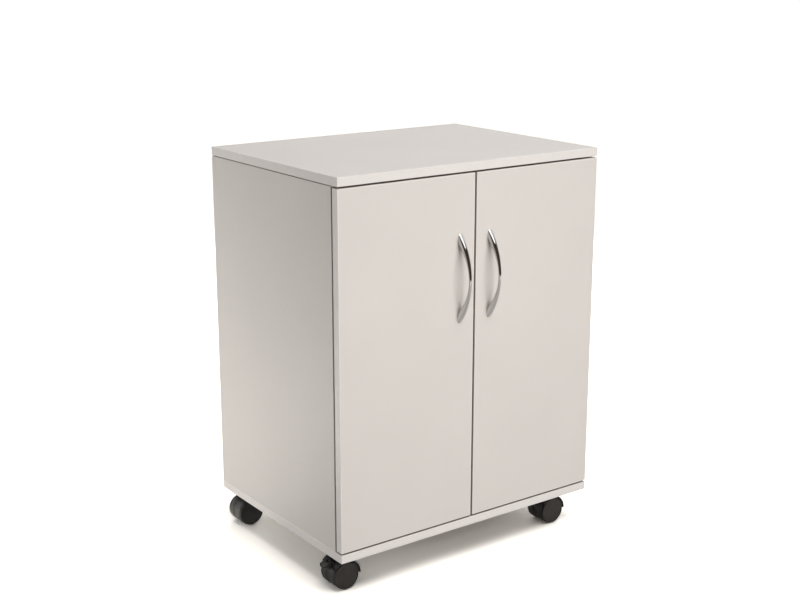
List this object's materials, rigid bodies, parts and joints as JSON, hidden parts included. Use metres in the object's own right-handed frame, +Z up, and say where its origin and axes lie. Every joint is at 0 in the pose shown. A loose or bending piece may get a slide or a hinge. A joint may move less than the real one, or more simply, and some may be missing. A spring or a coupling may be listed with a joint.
{
  "type": "mobile office cabinet",
  "caption": "Low office cabinet on swivel castors with hinged doors, chrome bow handles, a shelf inside and brake pedals on the front castors.",
  "frame": {"origin": "on the floor, under the centre of the whole object's bounding box at rest", "axes": "+Z up, -Y out of the doors, +X to the right of someone who faces the doors"},
  "size_m": [0.595, 0.462, 0.748],
  "materials": {
    "board": "melamine-faced chipboard, light warm grey",
    "edging": "glued plastic lipping in the boards' colour",
    "hardboard": "lacquered hardboard",
    "beech": "fluted beech dowel",
    "chrome": "bright chrome plate",
    "nickel_steel": "nickel-plated pressed steel",
    "zinc_steel": "zinc-plated steel",
    "zinc_casting": "bare zinc casting",
    "castor_nylon": "black moulded nylon",
    "wheel_nylon": "dark grey hard nylon"
  },
  "bodies": {
    "carcass": {"top_panel": "board", "bottom_panel": "board", "left_side_panel": "board", "right_side_panel": "board", "shelf": "board", "top_edging": "edging", "bottom_edging": "edging", "back_panel": "hardboard", "shelf_pegs": "zinc_steel", "cam_locks": "zinc_casting", "cam_bolts": "zinc_steel", "wood_dowels": "beech", "hinge_arms": "nickel_steel", "hinge_plates": "nickel_steel", "hinge_plate_screws": "zinc_steel", "hinge_arm_screws": "zinc_steel", "castor_plates": "zinc_steel", "castor_kingpins": "zinc_steel", "castor_plate_screws": "zinc_steel"},
    "left_door_leaf": {"left_door": "board", "left_door_edging": "edging", "left_handle": "chrome", "left_handle_screws": "zinc_steel", "left_hinge_cups": "nickel_steel", "left_hinge_pins": "zinc_steel", "left_hinge_cup_screws": "zinc_steel"},
    "right_door_leaf": {"right_door": "board", "right_door_edging": "edging", "right_handle": "chrome", "right_handle_screws": "zinc_steel", "right_hinge_cups": "nickel_steel", "right_hinge_pins": "zinc_steel", "right_hinge_cup_screws": "zinc_steel"},
    "front_left_castor": {"front_left_castor_hood": "castor_nylon", "front_left_castor_axle": "zinc_steel", "front_left_pedal_pin": "zinc_steel"},
    "front_left_front_wheel_body": {"front_left_front_wheel": "wheel_nylon"},
    "front_left_rear_wheel_body": {"front_left_rear_wheel": "wheel_nylon"},
    "front_left_pedal_body": {"front_left_brake_pedal": "castor_nylon"},
    "front_right_castor": {"front_right_castor_hood": "castor_nylon", "front_right_castor_axle": "zinc_steel", "front_right_pedal_pin": "zinc_steel"},
    "front_right_front_wheel_body": {"front_right_front_wheel": "wheel_nylon"},
    "front_right_rear_wheel_body": {"front_right_rear_wheel": "wheel_nylon"},
    "front_right_pedal_body": {"front_right_brake_pedal": "castor_nylon"},
    "back_left_castor": {"back_left_castor_hood": "castor_nylon", "back_left_castor_axle": "zinc_steel"},
    "back_left_front_wheel_body": {"back_left_front_wheel": "wheel_nylon"},
    "back_left_rear_wheel_body": {"back_left_rear_wheel": "wheel_nylon"},
    "back_right_castor": {"back_right_castor_hood": "castor_nylon", "back_right_castor_axle": "zinc_steel"},
    "back_right_front_wheel_body": {"back_right_front_wheel": "wheel_nylon"},
    "back_right_rear_wheel_body": {"back_right_rear_wheel": "wheel_nylon"}
  },
  "joints": [
    {"name": "left_door_swing", "type": "hinge", "parent": "carcass", "child": "left_door_leaf", "pos_m": [-0.27522, -0.1918, 0.178], "axis": [0, 0, -1], "range_deg": [0, 100]},
    {"name": "right_door_swing", "type": "hinge", "parent": "carcass", "child": "right_door_leaf", "pos_m": [0.28998, -0.1918, 0.178], "axis": [0, 0, 1], "range_deg": [0, 100]},
    {"name": "front_left_swivel", "type": "hinge", "parent": "carcass", "child": "front_left_castor", "pos_m": [-0.23762, -0.154, 0.064], "axis": [0, 0, 1], "continuous": true},
    {"name": "front_left_front_wheel_spin", "type": "hinge", "parent": "front_left_castor", "child": "front_left_front_wheel_body", "pos_m": [-0.25762, -0.154, 0.026], "axis": [0, 1, 0], "continuous": true},
    {"name": "front_left_rear_wheel_spin", "type": "hinge", "parent": "front_left_castor", "child": "front_left_rear_wheel_body", "pos_m": [-0.25762, -0.154, 0.026], "axis": [0, 1, 0], "continuous": true},
    {"name": "front_left_brake", "type": "hinge", "parent": "front_left_castor", "child": "front_left_pedal_body", "pos_m": [-0.2767, -0.154, 0.05043], "axis": [0, -1, 0], "range_deg": [0, 16]},
    {"name": "front_right_swivel", "type": "hinge", "parent": "carcass", "child": "front_right_castor", "pos_m": [0.25238, -0.154, 0.064], "axis": [0, 0, 1], "continuous": true},
    {"name": "front_right_front_wheel_spin", "type": "hinge", "parent": "front_right_castor", "child": "front_right_front_wheel_body", "pos_m": [0.23238, -0.154, 0.026], "axis": [0, 1, 0], "continuous": true},
    {"name": "front_right_rear_wheel_spin", "type": "hinge", "parent": "front_right_castor", "child": "front_right_rear_wheel_body", "pos_m": [0.23238, -0.154, 0.026], "axis": [0, 1, 0], "continuous": true},
    {"name": "front_right_brake", "type": "hinge", "parent": "front_right_castor", "child": "front_right_pedal_body", "pos_m": [0.2133, -0.154, 0.05043], "axis": [0, -1, 0], "range_deg": [0, 16]},
    {"name": "back_left_swivel", "type": "hinge", "parent": "carcass", "child": "back_left_castor", "pos_m": [-0.23762, 0.186, 0.064], "axis": [0, 0, 1], "continuous": true},
    {"name": "back_left_front_wheel_spin", "type": "hinge", "parent": "back_left_castor", "child": "back_left_front_wheel_body", "pos_m": [-0.25762, 0.186, 0.026], "axis": [0, 1, 0], "continuous": true},
    {"name": "back_left_rear_wheel_spin", "type": "hinge", "parent": "back_left_castor", "child": "back_left_rear_wheel_body", "pos_m": [-0.25762, 0.186, 0.026], "axis": [0, 1, 0], "continuous": true},
    {"name": "back_right_swivel", "type": "hinge", "parent": "carcass", "child": "back_right_castor", "pos_m": [0.25238, 0.186, 0.064], "axis": [0, 0, 1], "continuous": true},
    {"name": "back_right_front_wheel_spin", "type": "hinge", "parent": "back_right_castor", "child": "back_right_front_wheel_body", "pos_m": [0.23238, 0.186, 0.026], "axis": [0, 1, 0], "continuous": true},
    {"name": "back_right_rear_wheel_spin", "type": "hinge", "parent": "back_right_castor", "child": "back_right_rear_wheel_body", "pos_m": [0.23238, 0.186, 0.026], "axis": [0, 1, 0], "continuous": true}
  ]
}
